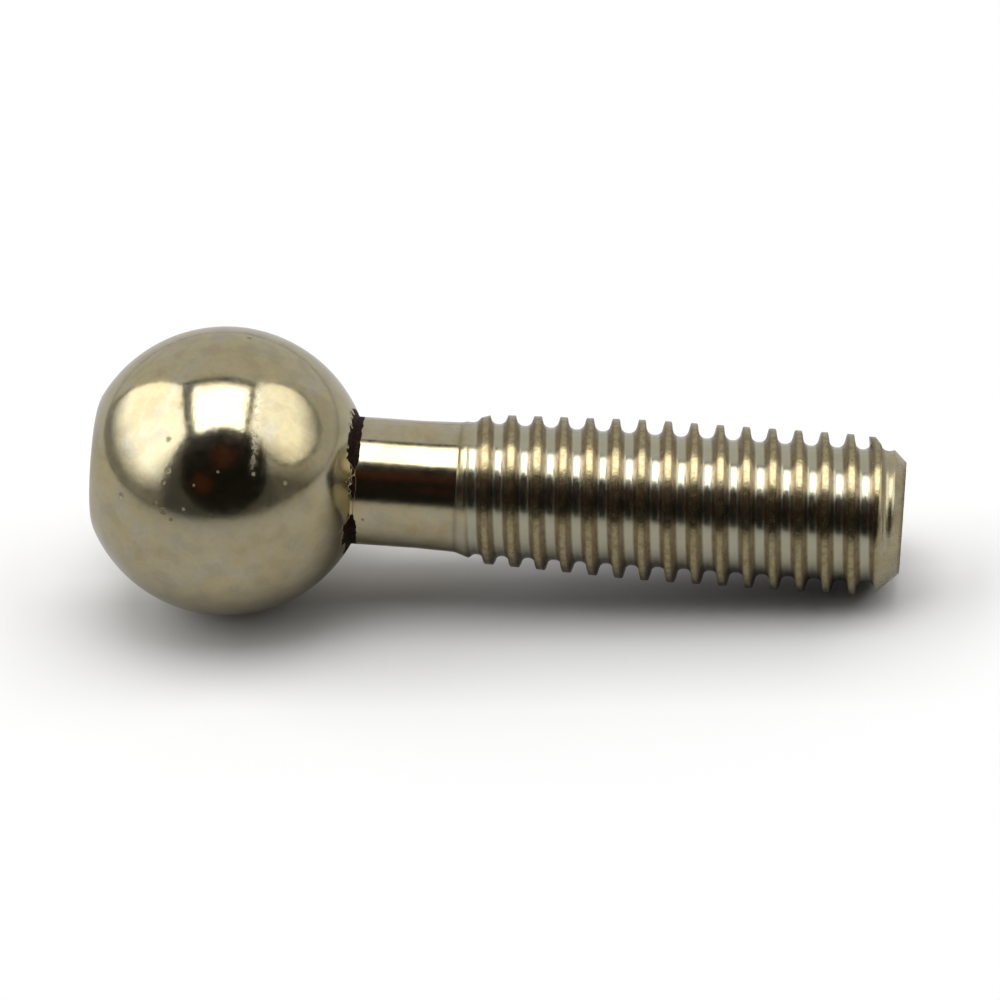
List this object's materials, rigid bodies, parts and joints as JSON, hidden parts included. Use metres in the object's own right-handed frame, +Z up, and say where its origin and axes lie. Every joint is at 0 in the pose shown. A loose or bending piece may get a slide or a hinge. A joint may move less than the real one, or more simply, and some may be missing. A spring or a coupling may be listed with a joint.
{
  "type": "ball head screw",
  "caption": "Turned screw with a ball for a head, a flat on the ball's end, a plain neck and a right-hand threaded shank with a chamfered point.",
  "frame": {"origin": "on the table, under the middle of the lying screw's box", "axes": "+X from the ball towards the threaded end, +Z up from the table; the screw's own axis lies in the XZ plane and slopes 5.8 degrees down towards +X"},
  "size_m": [0.0252, 0.0088, 0.0089],
  "materials": {
    "plated_steel": "polished nickel plate with a warm tint on turned steel, small pits, brown tarnish in the thread and a ring of rust where the neck meets the ball"
  },
  "bodies": {
    "root": {"ball_head_screw": "plated_steel"}
  },
  "joints": []
}
